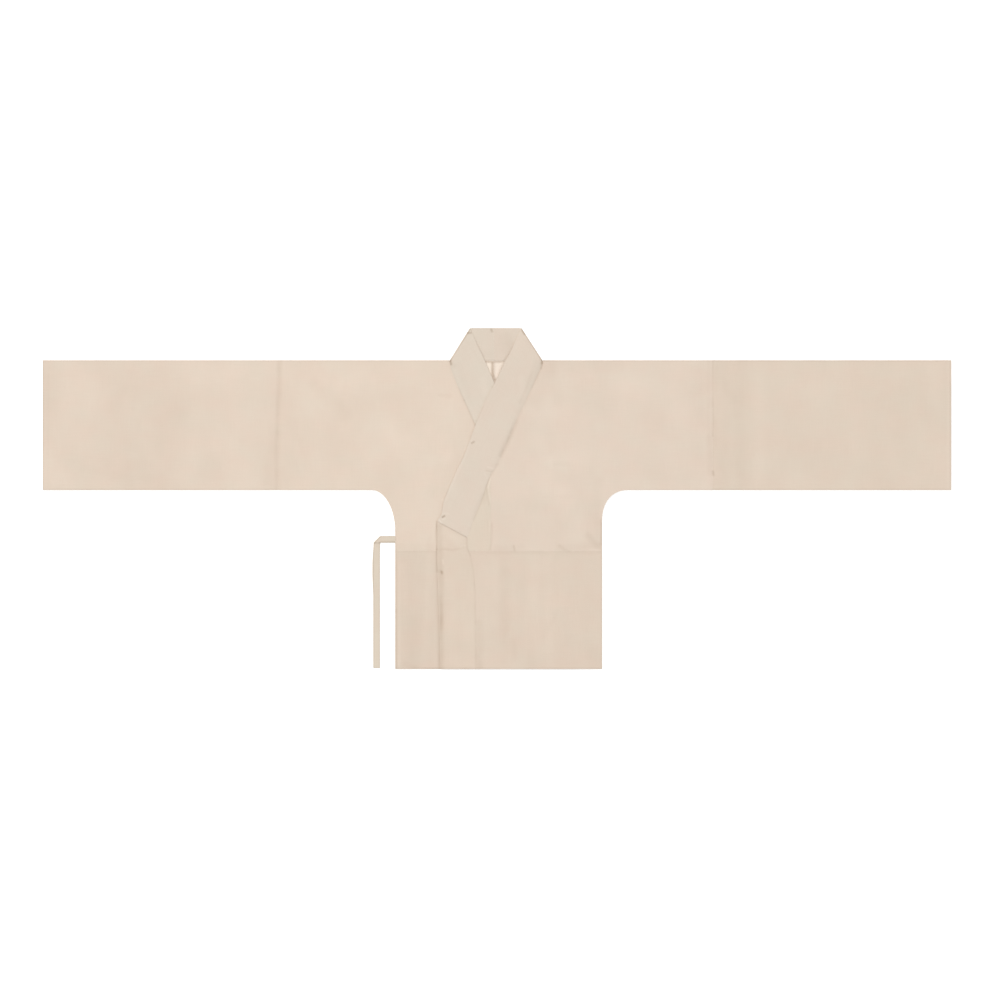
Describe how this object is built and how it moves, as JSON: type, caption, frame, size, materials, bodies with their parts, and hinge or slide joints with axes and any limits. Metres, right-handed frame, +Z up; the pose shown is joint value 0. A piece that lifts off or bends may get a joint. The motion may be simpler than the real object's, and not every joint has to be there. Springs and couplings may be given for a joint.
{
  "type": "short zhiju jacket, laid flat",
  "caption": "Plain beige cross-collared jacket with wide straight sleeves, a waist seam and one side tie, laid out flat with the left front over the right.",
  "frame": {"origin": "middle of the laid-out outline, on the surface that the jacket lies on", "axes": "+X towards the wearer's left cuff, +Y towards the collar, +Z up through the layers"},
  "size_m": [2.18, 0.818, 0.0065],
  "materials": {
    "body_cloth": "matt plain weave",
    "collar_cloth": "matt plain weave, doubled and pressed",
    "skirt_cloth": "matt plain weave",
    "tie_cloth": "matt plain weave, turned and pressed"
  },
  "bodies": {
    "root": {"body_right": "body_cloth", "body_left": "body_cloth", "sleeve_right": "body_cloth", "sleeve_left": "body_cloth", "overlap_left": "body_cloth", "overlap_right": "body_cloth", "collar_right": "collar_cloth", "collar_left": "collar_cloth", "front_band_left": "skirt_cloth", "skirt_back": "skirt_cloth", "skirt_left": "skirt_cloth", "skirt_right": "skirt_cloth", "tie_right": "tie_cloth"}
  },
  "joints": []
}
